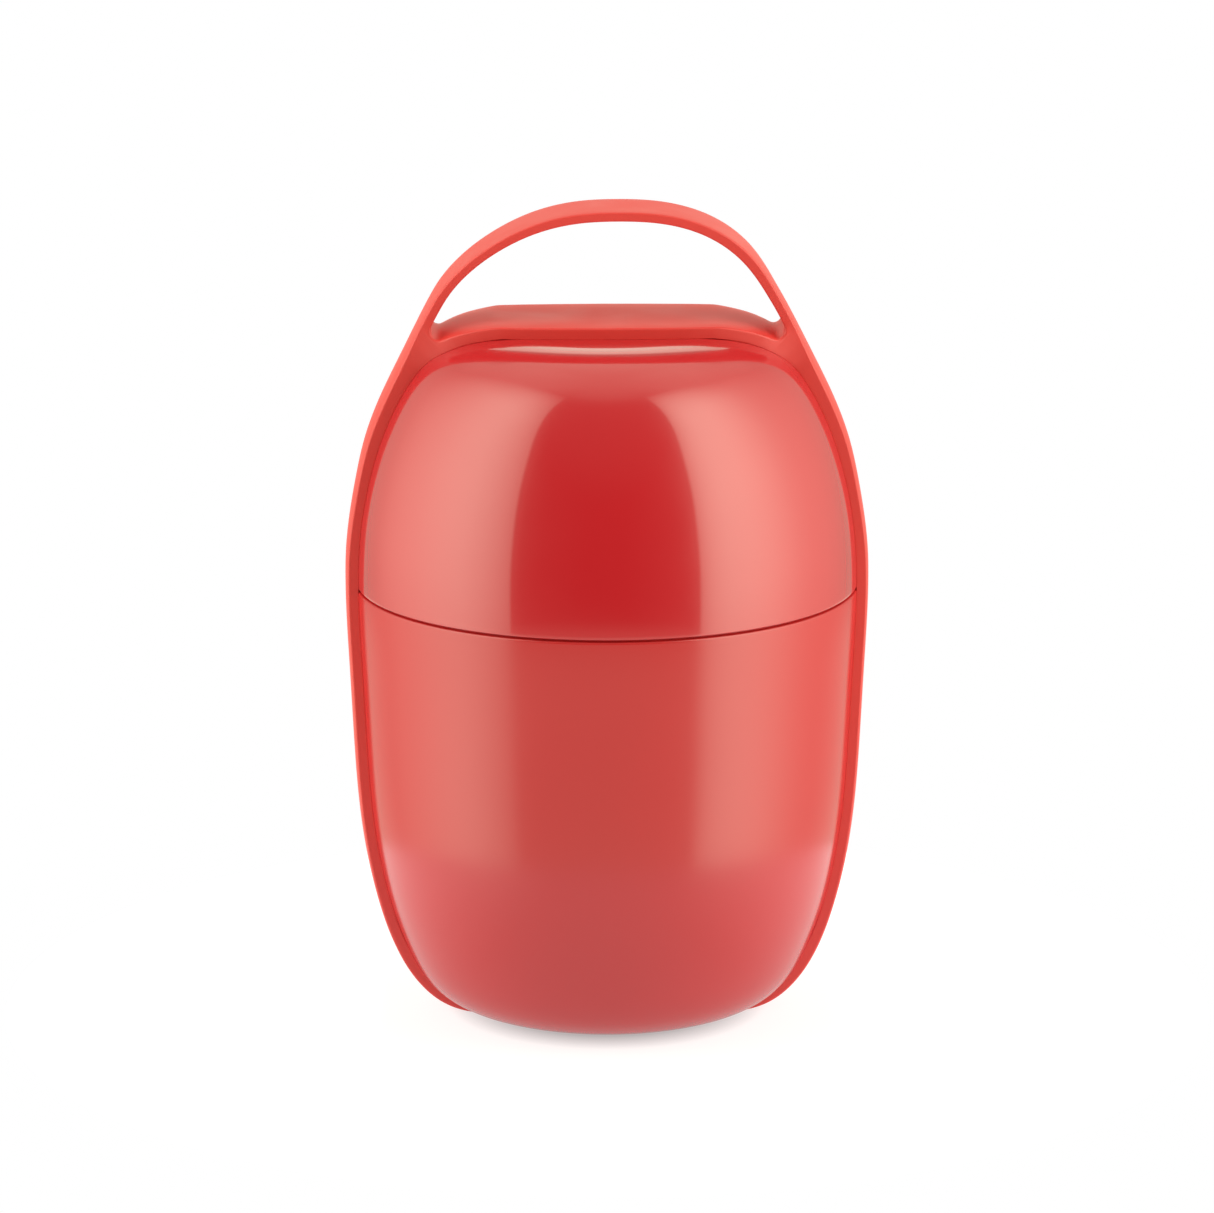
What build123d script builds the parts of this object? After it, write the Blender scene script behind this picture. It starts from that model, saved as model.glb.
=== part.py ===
from build123d import *
import os

os.makedirs("parts", exist_ok=True)

# ---------------------------------------------------------------- driving dimensions (mm)
# Frame: +Z up, origin on the floor at the middle of the base, strap in the XZ plane, front at -Y.
OVERALL_H = 202.0          # floor to the top of the carrying loop
BASE_Z = 2.6               # roof of the channel that the strap runs through under the pot
BODY_TOP_Z = 172.0         # flat crown of the lid
PARTING_Z = 108.3          # joint between pot and lid
PARTING_GAP = 0.6

# outer profile of the closed pot and lid as the strap follows it, radius against height
POT_PROFILE = [
    (32.0, BASE_Z),
    (36.2, 3.1),
    (40.2, 4.6),
    (44.3, 7.8),
    (50.4, 17.0),
    (54.2, 27.5),
    (57.1, 40.0),
    (59.0, 54.0),
    (60.1, 70.0),
    (61.0, 88.0),
    (61.8, PARTING_Z),
]
BASE_PROFILE = [           # outside of the pot's base, beside the channel, down to the floor
    (24.0, 0.4),
    (30.0, 1.25),
    (36.0, 2.55),
    (40.4, 4.25),
    (44.6, 7.45),
]
LID_PROFILE = [
    (61.0, 124.0),
    (59.3, 134.0),
    (56.6, 144.0),
    (52.5, 154.0),
    (48.9, 160.4),
    (44.0, 166.1),
    (37.0, 170.2),
    (28.0, BODY_TOP_Z),
]

SHELL_T = 2.0              # outer walls of pot and lid
LINER_T = 1.6              # inner walls
POT_LINER_IN = 4.5         # pot profile to the outside of its liner
LID_LINER_IN = 4.0         # lid profile to the outside of its liner

STRAP_W = 19.0             # band width
STRAP_T = 2.3              # band thickness
STRAP_GAP = 0.3            # band to body
STRAP_SPLIT = 0.4          # break between the fixed and the swinging length
PAD_W = 31.6               # widened pad on top of the lid
PAD_OUTLINE = [            # half of the pad's edge, length against half width
    (44.5, 9.5),
    (42.0, 10.8),
    (38.6, 12.2),
    (32.0, 13.6),
    (26.0, 14.6),
    (0.0, 15.8),
]
CROTCH_R = 2.0             # rounding where the carrying loop leaves the band
LOOP_PROFILE = [           # outside of the carrying loop, from the parting line to the crown
    (64.4, PARTING_Z),
    (64.3, 115.0),
    (63.4, 124.5),
    (61.8, 134.0),
    (59.5, 144.0),
    (55.8, 154.0),
    (51.0, 164.0),
    (45.9, 174.0),
    (39.9, 184.0),
    (31.8, 192.5),
    (20.3, 199.0),
    (9.0, 201.6),
    (0.0, OVERALL_H),
]
KEEPER_R = 3.8             # stud that holds the band under the base
KEEPER_HEAD_R = 6.0

CHANNEL_CLEAR = 0.4        # channel wall to the edge of the band
CHANNEL_TOP_Z = 14.0       # above this the base and the band's bed are one surface

FOOT_R_OUT = 23.0          # foot pads let into the base, either side of the channel
FOOT_R_IN = 16.0
FOOT_T = 1.2
FOOT_CLEAR_Y = 11.3

SPIGOT_R = 57.3            # collar on the pot that centres the lid
SPIGOT_TOP = 112.0

BOWL_IN = 7.1              # pot profile to the outside of the bowl
BOWL_R = 54.5
BOWL_T = 1.6
BOWL_LIP_R = 57.1
BOWL_LIP_Z = 112.3

BOWL_LID_Z = 114.3
BOWL_LID_R = 55.5
VENT_R = 3.0

TRAY_FLOOR_Z = 123.4
TRAY_R_LOW = 45.0
TRAY_R_TOP = 48.3
TRAY_LIP_Z = 141.0
TRAY_LIP_R = 49.6
TRAY_T = 1.5
TRAY_LID_Z = 142.9


# ---------------------------------------------------------------- helpers
def save(part, node):
    """Write one node as its own STEP file."""
    part.label = node
    export_step(part, f"parts/{node}.step")


def flowing(points, start, end):
    """Smooth curve through points with a set direction at each end."""
    return Spline(points, tangents=[start, end], tangent_scalars=[0.5, 0.5])


def moved_inwards(curve, inset, samples):
    """Smooth curve a set distance to the left of another one (negative is to its right)."""
    points = []
    for i in range(samples + 1):
        here = curve @ (i / samples)
        along = curve % (i / samples)
        points.append((here.X - along.Y * inset, here.Y + along.X * inset))
    return Spline(points)


def body_face(inset, mirrored=False, points=POT_PROFILE + LID_PROFILE):
    """Face bounded by the pot-and-lid profile moved inwards, as one half or as both."""
    profile = flowing(points, (1, 0), (-1, 0))
    if inset:
        profile = moved_inwards(profile, inset, 48)
    start = profile @ 0
    end = profile @ 1
    half = make_face([
        Line((0, start.Y), start),
        profile,
        Line(end, (0, end.Y)),
        Line((0, end.Y), (0, start.Y)),
    ])
    if mirrored:
        return half + mirror(half, about=Plane.YZ)
    return half


def turned(half):
    """Revolve a half section drawn in XY (radius, height) about the vertical axis."""
    standing = Plane.XZ * half
    return revolve(standing, axis=Axis.Z)


def body_form(inset):
    """Solid of the closed pot and lid, moved inwards by inset."""
    return turned(body_face(inset))


def slab(z_low, z_high, size=400):
    """Block that keeps everything between two heights."""
    return Pos(0, 0, (z_low + z_high) / 2) * Box(size, size, z_high - z_low)


def ring(r_in, r_out, z_low, z_high):
    """Plain ring between two radii and two heights."""
    middle = Pos(0, 0, (z_low + z_high) / 2)
    outer = middle * Cylinder(r_out, z_high - z_low)
    if r_in <= 0:
        return outer
    return outer - middle * Cylinder(r_in, z_high - z_low + 1)


def soft_ring(r_in, r_out, z_low, z_high, radius):
    """Ring with rounded edges, for seals."""
    body = ring(r_in, r_out, z_low, z_high)
    return fillet(body.edges().filter_by(GeomType.CIRCLE), radius)


# ---------------------------------------------------------------- pot
outer_form = body_form(0)
shell_inside = body_form(SHELL_T)
pot_top = PARTING_Z - PARTING_GAP / 2

pot_skin = turned(body_face(0, points=BASE_PROFILE + POT_PROFILE[4:] + LID_PROFILE))
pot_shell = (pot_skin - shell_inside) & slab(0, pot_top)
channel = Pos(0, 0, CHANNEL_TOP_Z / 2) * Box(200, STRAP_W + 2 * CHANNEL_CLEAR, CHANNEL_TOP_Z)
pot_shell -= channel - outer_form
keeper_hole = Cylinder(KEEPER_R + 0.1, 20)
pot_shell -= keeper_hole

foot_ring = ring(FOOT_R_IN, FOOT_R_OUT, 0, FOOT_T) - Box(200, 2 * FOOT_CLEAR_Y, 20)
foot_front = foot_ring & Pos(0, -100, 0) * Box(200, 200, 20)
foot_back = foot_ring & Pos(0, 100, 0) * Box(200, 200, 20)
pot_shell -= foot_front
pot_shell -= foot_back
save(pot_shell, "pot_shell")
save(foot_front, "foot_pad_front")
save(foot_back, "foot_pad_back")

liner_wall = body_form(POT_LINER_IN) - body_form(POT_LINER_IN + LINER_T)
pot_liner = liner_wall & slab(0, SPIGOT_TOP - 7.0)
pot_liner += ring(SPIGOT_R - LINER_T, SPIGOT_R, SPIGOT_TOP - 8.0, SPIGOT_TOP)
flange_top = pot_top - 0.4
pot_liner += ring(SPIGOT_R - 0.4, 59.5, flange_top - 2.6, flange_top)
save(pot_liner, "pot_liner")

rim_gasket = soft_ring(SPIGOT_R + 0.1, 59.2, flange_top + 0.1, flange_top + 2.6, 0.5)
save(rim_gasket, "rim_gasket")

# ---------------------------------------------------------------- strap
bed = body_form(-STRAP_GAP)
band_outside = body_face(-STRAP_GAP - STRAP_T, mirrored=True)
band_core = body_face(SHELL_T, mirrored=True)


def band(section, width):
    """Extrude a section drawn in XZ evenly to both sides of the middle plane."""
    return extrude(Plane.XZ * section, amount=width / 2, both=True)


# the band is flat outside and hugs the round body inside
sling = band(band_outside - band_core, STRAP_W) - bed
sling &= slab(-5, PARTING_Z - STRAP_SPLIT / 2)
sling -= Cylinder(KEEPER_R + 0.2, 20)
sling -= Pos(0, 0, 0.6) * Cylinder(KEEPER_HEAD_R + 0.3, 1.3)
save(sling, "strap_sling")

strap_keeper = ring(0, KEEPER_HEAD_R, 0.2, 1.2)
strap_keeper += ring(0, KEEPER_R, 0.2, BASE_Z + SHELL_T + 0.6)
save(strap_keeper, "strap_keeper")


def arch(curve):
    """Face under an arch, from its right-hand foot up to the crown, and its mirror image."""
    half = make_face([
        Line((0, PARTING_Z), curve @ 0),
        curve,
        Line(curve @ 1, (0, PARTING_Z)),
    ])
    return half + mirror(half, about=Plane.YZ)


loop_outside = flowing(LOOP_PROFILE, (0, 1), (-1, 0))
loop_inside = moved_inwards(loop_outside, STRAP_T, 40)
loop_face = arch(loop_outside)
window = arch(loop_inside)
above = Pos(0, 300) * Rectangle(400, 2 * (300 - 160))
window = (window & above) - band_outside
window = window.faces().sort_by(SortBy.AREA)[-1]
window_block = band(window, STRAP_W + 10)
crotch_edges = window_block.edges().filter_by(Axis.Y).filter_by(lambda e: abs(e.center().X) > 35)
window_block = fillet(crotch_edges, CROTCH_R)

handle_section = (loop_face + band_outside) - band_core
handle = band(handle_section, STRAP_W) - window_block - bed
handle &= slab(PARTING_Z + STRAP_SPLIT / 2, OVERALL_H + 5)

pad_end = PAD_OUTLINE[0][0]
pad_left = [(-x, y) for x, y in PAD_OUTLINE]
pad_edge = Spline(pad_left + PAD_OUTLINE[-2::-1])
pad_plan = make_face(pad_edge + Line((-pad_end, STRAP_W / 2), (pad_end, STRAP_W / 2)))
pad_plan += mirror(pad_plan, about=Plane.XZ)
pad_plan += Rectangle(2 * pad_end, STRAP_W)
pad = Pos(0, 0, 160) * extrude(pad_plan, amount=20)
pad &= band(band_outside - band_core, PAD_W + 2)
pad -= bed
strap_handle = handle + pad
save(strap_handle, "strap_handle")

# ---------------------------------------------------------------- bowl and its lid
bowl_form = body_form(BOWL_IN)
bowl_inside = body_form(BOWL_IN + BOWL_T)
bowl = (bowl_form - bowl_inside) & slab(0, 100)
bowl += ring(BOWL_R - BOWL_T, BOWL_R, 99, BOWL_LIP_Z + 0.2)
bowl += ring(BOWL_R - BOWL_T, BOWL_LIP_R, BOWL_LIP_Z, BOWL_LIP_Z + 1.7)
save(bowl, "bowl")

lid_plate_top = BOWL_LID_Z + 1.6
bowl_lid = ring(0, BOWL_LID_R, BOWL_LID_Z, lid_plate_top)
bowl_lid += ring(50.3, 51.7, BOWL_LID_Z - 4.3, BOWL_LID_Z + 0.2)
bowl_lid += ring(37.6, 39.0, lid_plate_top - 0.2, lid_plate_top + 1.8)
bowl_lid += ring(0, 9.0, lid_plate_top - 0.2, lid_plate_top + 1.6)
for side in (-1, 1):
    lug = Pos(side * 22, 0, lid_plate_top + 2.4) * Box(2.2, 18, 5.0)
    lug = fillet(lug.edges().filter_by(Axis.X), 2.0)
    bowl_lid += lug
bowl_lid -= Pos(0, 0, BOWL_LID_Z) * Cylinder(VENT_R, 20)
save(bowl_lid, "bowl_lid")

bowl_gasket = soft_ring(51.8, 52.6, BOWL_LID_Z - 3.8, BOWL_LID_Z - 1.2, 0.3)
save(bowl_gasket, "bowl_gasket")

vent_head_z = lid_plate_top + 1.9
vent_plug = ring(0, VENT_R - 0.3, BOWL_LID_Z - 1.4, vent_head_z + 0.2)
vent_plug += soft_ring(0, 6.5, vent_head_z, vent_head_z + 1.8, 0.6)
save(vent_plug, "vent_plug")


# ---------------------------------------------------------------- tray, divider and its lid
def tray_half(inset, top_z):
    """Half section of the dish, moved inwards by inset."""
    low_z = TRAY_FLOOR_Z + inset
    return make_face(
        Polyline(
            (0, low_z),
            (TRAY_R_LOW - 5 - inset * 0.4, low_z),
            (TRAY_R_LOW - inset, low_z + 4.5),
            (TRAY_R_TOP - inset, top_z),
            (0, top_z),
            close=True,
        )
    )


tray = turned(tray_half(0, TRAY_LIP_Z + 1.6))
tray -= turned(tray_half(TRAY_T, TRAY_LIP_Z + 4.0))
tray += ring(TRAY_R_TOP - 0.8, TRAY_LIP_R, TRAY_LIP_Z, TRAY_LIP_Z + 1.6)
tray += ring(39.6, 41.2, lid_plate_top + 0.3, TRAY_FLOOR_Z + 2.2) - turned(
    tray_half(TRAY_T, TRAY_LIP_Z + 4.0)
)
save(tray, "tray")

divider_low = TRAY_FLOOR_Z + TRAY_T + 0.3
divider_plate = make_face(
    Polyline(
        (-37.5, divider_low),
        (37.5, divider_low),
        (42.6, divider_low + 5.0),
        (44.6, divider_low + 13.2),
        (-44.6, divider_low + 13.2),
        (-42.6, divider_low + 5.0),
        close=True,
    )
)
tray_divider = band(divider_plate, 1.4)
tray_divider += Pos(0, 0, divider_low + 0.6) * Box(72, 6, 1.2)
save(tray_divider, "tray_divider")

tray_lid = ring(0, TRAY_LIP_R, TRAY_LID_Z, TRAY_LID_Z + 1.4)
tray_lid += ring(42.9, 44.3, TRAY_LID_Z - 3.6, TRAY_LID_Z + 0.2)
pull = Pos(0, 0, TRAY_LID_Z + 3.4) * Box(34, 3.0, 5.0)
pull = fillet(pull.edges().filter_by(Axis.Y), 2.2)
tray_lid += pull
save(tray_lid, "tray_lid")

tray_gasket = soft_ring(44.4, 45.4, TRAY_LID_Z - 3.2, TRAY_LID_Z - 1.0, 0.4)
save(tray_gasket, "tray_gasket")

# ---------------------------------------------------------------- lid
lid_low = PARTING_Z + PARTING_GAP / 2
lid_shell = (outer_form - shell_inside) & slab(lid_low, BODY_TOP_Z + 5)
save(lid_shell, "lid_shell")

dome_wall = body_form(LID_LINER_IN) - body_form(LID_LINER_IN + 1.5)
lid_liner = dome_wall & slab(115.0, BODY_TOP_Z)
lid_liner += ring(56.4, 59.4, 115.0, 116.5)
lid_liner += ring(58.0, 59.4, flange_top + 2.9, 115.5)
save(lid_liner, "lid_liner")
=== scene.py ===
"""Looks of the lunch pot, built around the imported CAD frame. Metres, +Z up, front at -Y."""

import math

import bmesh
import bpy
import numpy as np
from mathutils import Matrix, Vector
from mathutils.geometry import tessellate_polygon


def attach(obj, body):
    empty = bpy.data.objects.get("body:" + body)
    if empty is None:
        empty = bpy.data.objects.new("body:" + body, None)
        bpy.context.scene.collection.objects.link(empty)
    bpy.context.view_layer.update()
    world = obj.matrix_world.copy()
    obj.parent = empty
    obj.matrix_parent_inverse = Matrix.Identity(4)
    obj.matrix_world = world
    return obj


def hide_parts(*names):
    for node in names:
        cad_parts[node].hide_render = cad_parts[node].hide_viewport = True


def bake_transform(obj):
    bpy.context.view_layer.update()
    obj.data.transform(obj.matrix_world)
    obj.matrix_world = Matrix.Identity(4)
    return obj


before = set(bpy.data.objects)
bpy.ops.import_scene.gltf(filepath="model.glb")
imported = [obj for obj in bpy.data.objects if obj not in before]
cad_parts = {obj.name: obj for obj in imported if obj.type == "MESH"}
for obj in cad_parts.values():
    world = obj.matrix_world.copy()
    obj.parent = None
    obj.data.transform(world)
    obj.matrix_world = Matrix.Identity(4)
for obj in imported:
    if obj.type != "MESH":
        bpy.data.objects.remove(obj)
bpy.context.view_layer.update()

MM = 0.001

# ---------------------------------------------------------------- dimensions shared with the CAD (mm)
OVERALL_H = 202.0
BASE_Z = 2.6               # roof of the channel under the pot
PARTING_Z = 108.3          # joint between pot and lid
PARTING_GAP = 0.6
BODY_TOP_Z = 172.0
CHANNEL_TOP_Z = 14.0
CHANNEL_HALF_W = 9.9
POT_PROFILE = [
    (32.0, BASE_Z), (36.2, 3.1), (40.2, 4.6), (44.3, 7.8), (50.4, 17.0), (54.2, 27.5),
    (57.1, 40.0), (59.0, 54.0), (60.1, 70.0), (61.0, 88.0), (61.8, PARTING_Z),
]
BASE_PROFILE = [(24.0, 0.4), (30.0, 1.25), (36.0, 2.55), (40.4, 4.25), (44.6, 7.45)]
LID_PROFILE = [            # its crown is a little rounder than the CAD's
    (61.0, 124.0), (59.3, 134.0), (56.6, 144.0), (52.5, 154.0), (48.9, 160.4),
    (44.0, 166.1), (37.0, 170.15), (31.0, 171.6), (25.5, BODY_TOP_Z),
]
LOOP_PROFILE = [
    (64.4, PARTING_Z), (64.3, 115.0), (63.4, 124.5), (61.8, 134.0), (59.5, 144.0), (55.8, 154.0),
    (51.0, 164.0), (45.9, 174.0), (39.9, 184.0), (31.8, 192.5), (20.3, 199.0), (9.0, 201.6),
    (0.0, OVERALL_H),
]
SHELL_T = 2.0
LINER_T = 1.6
POT_LINER_IN = 4.5
LID_LINER_IN = 4.0
SPIGOT_R = 57.3
SPIGOT_TOP = 112.0
FLANGE_R = 59.5
FLANGE_T = 2.6
FLANGE_TOP = PARTING_Z - PARTING_GAP / 2 - 0.4

BOWL_IN = 7.1
BOWL_R = 54.5
BOWL_T = 1.6
BOWL_LIP_R = 57.1
BOWL_LIP_Z = 112.3
BOWL_TOP = 114.0
BOWL_LID_Z = 114.3
BOWL_LID_R = 55.5
BOWL_LID_T = 1.6
BOWL_LID_TOP = BOWL_LID_Z + BOWL_LID_T
VENT_R = 3.0

TRAY_FLOOR_Z = 123.4
TRAY_FOOT_R = 41.2
TRAY_R_LOW = 45.0
TRAY_LIP_Z = 141.0
TRAY_LIP_R = 49.6
TRAY_T = 1.5
TRAY_LID_Z = 142.9
TRAY_LID_T = 1.4

# ---------------------------------------------------------------- dimensions of the visual pieces (mm)
STRAP_HALF_W = 9.5
STRAP_T = 2.3
STRAP_GAP = 0.3            # the CAD's band to the body, which sets the line of the band's outside
STRAP_PRESS = 0.03         # the visual band sits this deep in the body
PAD_RISE = 2.72            # top of the pad over the lid
PAD_OUTLINE = [            # length against half width
    (0.0, 15.8), (10.0, 15.6), (20.0, 15.2), (26.0, 14.6), (32.0, 13.6), (36.0, 12.8), (38.6, 12.2),
    (41.0, 11.3), (43.5, 10.2), (46.0, STRAP_HALF_W), (70.0, STRAP_HALF_W),
]
CROTCH_R = 2.0
OUTER_EDGE = 0.45          # rounding of the band's outer edges, and of those that lie on the body
BED_EDGE = 0.08
LEAN = 2.7                 # sideways lean of the soft loop at its crown
LEAN_FROM = 180.0

POT_TOP = PARTING_Z - 0.35
POT_EDGE = 0.5
LIP_R = 60.7               # low lip inside the pot's rim, which closes the joint
LIP_TOP = 108.38
LID_LOW = PARTING_Z + 0.15
LID_EDGE = 0.45


# ---------------------------------------------------------------- curves
def smooth_curve(points, start, end, samples):
    """Cubic spline through points, by chord length, with a set direction at each end."""
    p = np.array(points, float)
    u = np.concatenate([[0], np.cumsum(np.hypot(*np.diff(p, axis=0).T))])
    n = len(p)
    h = np.diff(u)
    a = np.zeros((n, n))
    b = np.zeros((n, 2))
    a[0, 0] = a[-1, -1] = 1
    b[0] = start
    b[-1] = end
    for i in range(1, n - 1):
        a[i, i - 1] = h[i]
        a[i, i] = 2 * (h[i - 1] + h[i])
        a[i, i + 1] = h[i - 1]
        b[i] = 3 * (h[i] * (p[i] - p[i - 1]) / h[i - 1] + h[i - 1] * (p[i + 1] - p[i]) / h[i])
    slope = np.linalg.solve(a, b)
    at = np.linspace(0, u[-1], samples)
    k = np.clip(np.searchsorted(u, at, side="right") - 1, 0, n - 2)
    t = ((at - u[k]) / h[k])[:, None]
    hk = h[k][:, None]
    return (
        (2 * t**3 - 3 * t**2 + 1) * p[k]
        + (t**3 - 2 * t**2 + t) * hk * slope[k]
        + (3 * t**2 - 2 * t**3) * p[k + 1]
        + (t**3 - t**2) * hk * slope[k + 1]
    )


def directions(curve):
    """Unit direction along a curve at each of its points."""
    d = np.gradient(curve, axis=0)
    return d / np.linalg.norm(d, axis=1)[:, None]


def moved_left(curve, distance):
    """Each point moved to the left of the curve's direction."""
    d = directions(curve)
    return curve + np.stack([-d[:, 1], d[:, 0]], 1) * distance


def cut_below(curve, z):
    """The part of a rising curve that is above a height, starting exactly on it."""
    i = int(np.argmax(curve[:, 1] > z))
    t = (z - curve[i - 1, 1]) / (curve[i, 1] - curve[i - 1, 1])
    first = curve[i - 1] + t * (curve[i] - curve[i - 1])
    return np.vstack([first, curve[i:]])


def cut_above(curve, z):
    """The part of a rising curve that is below a height, ending exactly on it."""
    i = int(np.argmax(curve[:, 1] >= z))
    t = (z - curve[i - 1, 1]) / (curve[i, 1] - curve[i - 1, 1])
    last = curve[i - 1] + t * (curve[i] - curve[i - 1])
    return np.vstack([curve[:i], last])


def to_axis(curve):
    """A curve that ends near the axis on a flat, carried on to the axis."""
    r, z = curve[-1]
    return np.vstack([curve, [[r * k, z] for k in (0.75, 0.5, 0.25, 0.0)]])


def length_along(curve):
    """Distance along a curve at each of its points."""
    return np.concatenate([[0], np.cumsum(np.hypot(*np.diff(curve, axis=0).T))])


def spread(curve, count):
    """A curve as count points at one spacing."""
    u = length_along(curve)
    at = np.linspace(0, u[-1], count)
    return np.stack([np.interp(at, u, curve[:, 0]), np.interp(at, u, curve[:, 1])], 1)


def evened(loop, spacing):
    """Closed loop with its points spread at about one spacing."""
    closed = np.vstack([loop, loop[:1]])
    apart = np.hypot(*np.diff(closed, axis=0).T) > 1e-6
    closed = closed[np.concatenate([[True], apart])]
    count = int(length_along(closed)[-1] / spacing)
    return spread(closed, count + 1)[:-1]


def nearest(curve, point):
    """Index of the curve's point nearest to a point."""
    return int(np.argmin(np.hypot(*(curve - point).T)))


def crossing(a, b):
    """Where two polylines cross: (index on a, index on b, point)."""
    for i in range(len(a) - 1):
        along_a = a[i + 1] - a[i]
        for j in range(len(b) - 1):
            along_b = b[j + 1] - b[j]
            between = b[j] - a[i]
            area = along_a[0] * along_b[1] - along_a[1] * along_b[0]
            if abs(area) < 1e-12:
                continue
            t = (between[0] * along_b[1] - between[1] * along_b[0]) / area
            w = (between[0] * along_a[1] - between[1] * along_a[0]) / area
            if 0 <= t <= 1 and 0 <= w <= 1:
                return i, j, a[i] + t * along_a
    raise ValueError("the curves don't cross")


def rounded(corners, steps=5):
    """Polyline from (r, z, rounding) corners. A corner with a rounding becomes a short curve, and a
    long straight beside it gets one more point to hold it straight."""
    pts = [np.array(c[:2], float) for c in corners]
    out = []
    for i, c in enumerate(corners):
        here = pts[i]
        radius = c[2] if len(c) > 2 else 0
        if not radius or i in (0, len(corners) - 1):
            out.append(here)
            continue
        back = pts[i - 1] - here
        ahead = pts[i + 1] - here
        back_length = np.linalg.norm(back)
        ahead_length = np.linalg.norm(ahead)
        back /= back_length
        ahead /= ahead_length
        half = math.acos(max(-1.0, min(1.0, float(back @ ahead)))) / 2
        if half > math.pi / 2 - 0.02:
            out.append(here)
            continue
        reach = min(radius / math.tan(half), back_length * 0.48, ahead_length * 0.48)
        a = here + back * reach
        b = here + ahead * reach
        if back_length > 4 * reach:
            out.append(here + back * reach * 1.5)
        for k in range(steps + 1):
            t = k / steps
            out.append((1 - t) ** 2 * a + 2 * t * (1 - t) * here + t * t * b)
        if ahead_length > 4 * reach:
            out.append(here + ahead * reach * 1.5)
    return np.array(out)


def quarter_turn(r, z, radius, side, up, steps=5):
    """Arc on the edge at (r, z), from the wall to the rim. side is -1 on an outer wall, 1 on an inner
    one, and up is 1 for a rim that faces up and -1 for one that faces down."""
    pts = []
    for k in range(steps + 1):
        turn = math.pi / 2 * k / steps
        pts.append((r + side * radius * (1 - math.cos(turn)), z - up * radius * (1 - math.sin(turn))))
    return pts


BODY_CURVE = smooth_curve(POT_PROFILE + LID_PROFILE, (1, 0), (-1, 0), 260)
SKIN_CURVE = smooth_curve(BASE_PROFILE + POT_PROFILE[4:] + LID_PROFILE, (1, 0), (-1, 0), 280)


def body_curve(inset):
    """Pot-and-lid profile moved inwards."""
    return moved_left(BODY_CURVE, inset)


def cup_profile(outer, rim, inner, flats):
    """Closed profile of a cup: out along the base, up the outer wall, over the rim and back inside.
    flats are radii of extra points on the flat base; the last one is used inside too."""
    base = outer[0][1]
    floor_z = inner[0][1]
    return np.vstack([
        [(r, base) for r in (0, *flats)],
        outer,
        rim,
        inner[::-1],
        [(flats[-1], floor_z), (0, floor_z)],
    ])


def ring_profile(r_in, r_out, z_low, z_high, rounding):
    """Closed profile of a ring with rounded edges."""
    middle = (r_in + r_out) / 2
    return rounded([
        (middle, z_low), (r_out, z_low, rounding), (r_out, z_high, rounding),
        (r_in, z_high, rounding), (r_in, z_low, rounding), (middle, z_low),
    ])[:-1]


# ---------------------------------------------------------------- mesh makers
def linked(name, mesh, material):
    """Smooth-shaded object of a mesh, in the scene."""
    mesh.polygons.foreach_set("use_smooth", [True] * len(mesh.polygons))
    mesh.materials.append(material)
    obj = bpy.data.objects.new(name, mesh)
    bpy.context.scene.collection.objects.link(obj)
    return obj


def new_object(name, verts, faces, material):
    """Mesh object in metres from millimetre vertices."""
    mesh = bpy.data.meshes.new(name)
    mesh.from_pydata([tuple(float(c) * MM for c in v) for v in verts], [], faces)
    bm = bmesh.new()
    bm.from_mesh(mesh)
    bmesh.ops.remove_doubles(bm, verts=bm.verts, dist=1e-7)
    bmesh.ops.recalc_face_normals(bm, faces=bm.faces)
    bm.to_mesh(mesh)
    bm.free()
    return linked(name, mesh, material)


def lathe(name, profile, material, around=160):
    """Solid of revolution of a closed (r, z) profile. Points on the axis become one vertex."""
    verts = []
    rows = []
    for r, z in profile:
        if r < 1e-6:
            rows.append([len(verts)] * around)
            verts.append((0, 0, z))
            continue
        row = []
        for k in range(around):
            angle = 2 * math.pi * k / around
            row.append(len(verts))
            verts.append((r * math.cos(angle), r * math.sin(angle), z))
        rows.append(row)
    faces = []
    for lower, upper in zip(rows, rows[1:] + rows[:1]):
        for k in range(around):
            k2 = (k + 1) % around
            face = list(dict.fromkeys([lower[k], lower[k2], upper[k2], upper[k]]))
            if len(face) > 2:
                faces.append(face)
    return new_object(name, verts, faces, material)


def shrunk(loop, distance):
    """Closed loop moved to the left of its direction."""
    ahead = np.roll(loop, -1, axis=0) - np.roll(loop, 1, axis=0)
    ahead /= np.linalg.norm(ahead, axis=1)[:, None]
    return loop + np.stack([-ahead[:, 1], ahead[:, 0]], 1) * distance


def edge_levels(edge, across, steps=4, hold=0.16):
    """Steps across a band from one face to the other: (inset of the section, side, set back)."""
    levels = [(edge + hold, -1, 0.0)]
    for k in range(steps + 1):
        turn = math.pi / 2 * k / steps
        levels.append((edge * (1 - math.sin(turn)), -1, edge * (1 - math.cos(turn))))
    for k in range(1, across):
        levels.append((0.0, -1 + 2 * k / across, edge))
    return levels + [(inset, 1, back) for inset, side, back in levels[steps + 1::-1]]


def banded(verts, faces, loop, widths, edge, across=6, bend=None):
    """Skin of a band along one closed loop in XZ. Gives the vertex rows that border its two faces."""
    rings = []
    for inset, share, back in edge_levels(edge, across):
        moved = shrunk(loop, inset)
        y = share * (widths - (back if abs(share) == 1 else edge))
        if bend is not None:
            moved = bend(moved, y)
        ring = []
        for (x, z), depth in zip(moved, y):
            ring.append(len(verts))
            verts.append((x, depth, z))
        rings.append(ring)
    count = len(loop)
    for lower, upper in zip(rings, rings[1:]):
        for k in range(count):
            k2 = (k + 1) % count
            faces.append([lower[k], lower[k2], upper[k2], upper[k]])
    return rings[0], rings[-1]


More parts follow.
